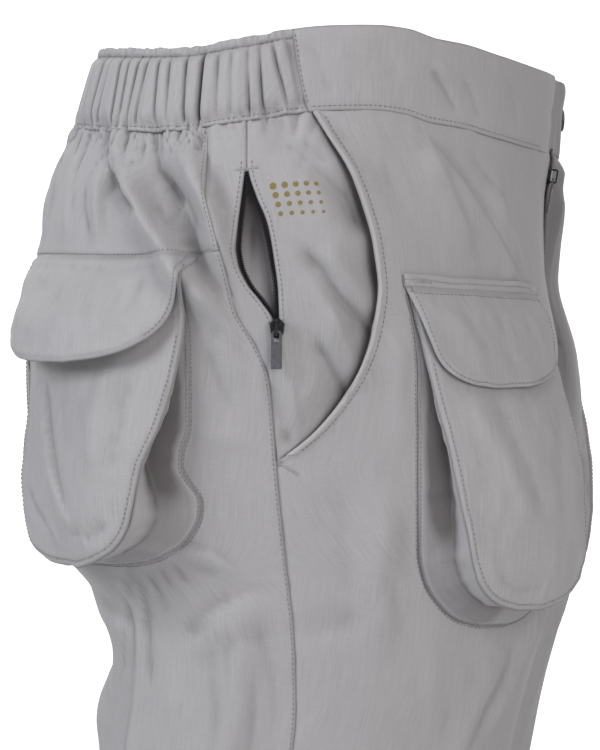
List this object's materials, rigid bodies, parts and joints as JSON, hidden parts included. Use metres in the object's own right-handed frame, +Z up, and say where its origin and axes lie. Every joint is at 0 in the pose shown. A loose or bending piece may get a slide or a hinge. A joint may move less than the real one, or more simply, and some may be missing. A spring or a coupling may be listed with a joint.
{
  "type": "track pants",
  "caption": "Worn track pants, hollow, with an elastic-back waistband, curved hip panels, open side zips and bellows pockets with flaps.",
  "frame": {"origin": "centre of the waistband, half-way up it, where the wearer's waist holds the garment", "axes": "+Z up the garment, -Y to the front, -X to the wearer's right"},
  "size_m": [0.4096, 0.3199, 1.0329],
  "materials": {
    "cloth": "matt, fine slubbed weave",
    "binding": "matt, folded edge",
    "pocketing": "matt, inside of the cloth",
    "zip_tape": "woven tape",
    "slider": "satin black",
    "pull_tab": "matt, lightly grained",
    "press_stud": "satin gunmetal"
  },
  "bodies": {
    "garment": {"waistband_back": "cloth", "waistband_front_R": "cloth", "waistband_front_L": "cloth", "back_yoke_R": "cloth", "back_yoke_L": "cloth", "back_leg_R": "cloth", "back_leg_L": "cloth", "front_leg_R": "cloth", "front_leg_L": "cloth", "side_panel_R": "cloth", "side_panel_L": "cloth", "front_pocket_gusset_R": "cloth", "front_pocket_gusset_L": "cloth", "front_pocket_face_R": "cloth", "front_pocket_face_L": "cloth", "front_pocket_flap_R": "cloth", "front_pocket_flap_L": "cloth", "front_pocket_header_R": "cloth", "front_pocket_header_L": "cloth", "back_pocket_gusset_R": "cloth", "back_pocket_gusset_L": "cloth", "back_pocket_face_R": "cloth", "back_pocket_face_L": "cloth", "back_pocket_flap_R": "cloth", "back_pocket_flap_L": "cloth", "curved_binding_R": "binding", "curved_binding_L": "binding", "side_pocket_bag_R": "pocketing", "side_pocket_bag_L": "pocketing", "fly_zip_tape": "zip_tape", "side_zip_tape_R": "zip_tape", "side_zip_tape_L": "zip_tape", "fly_slider": "slider", "side_zip_slider_R": "slider", "side_zip_slider_L": "slider", "waistband_snap": "press_stud"},
    "side_zip_tab_right": {"side_zip_tab_R": "pull_tab"},
    "side_zip_tab_left": {"side_zip_tab_L": "pull_tab"},
    "fly_zip_tab": {"fly_tab": "pull_tab"}
  },
  "joints": [
    {"name": "side_zip_tab_right_swing", "type": "hinge", "parent": "garment", "child": "side_zip_tab_right", "pos_m": [-0.19679, -0.0004, -0.13666], "axis": [-0.0225, 0.9997, 0], "range_deg": [0, 135]},
    {"name": "side_zip_tab_left_swing", "type": "hinge", "parent": "garment", "child": "side_zip_tab_left", "pos_m": [0.19679, -0.0004, -0.13666], "axis": [-0.0225, -0.9997, 0], "range_deg": [0, 135]},
    {"name": "fly_zip_tab_swing", "type": "hinge", "parent": "garment", "child": "fly_zip_tab", "pos_m": [-0.0251, -0.13166, -0.04959], "axis": [-0.9992, 0.0392, 0], "range_deg": [0, 135]}
  ]
}
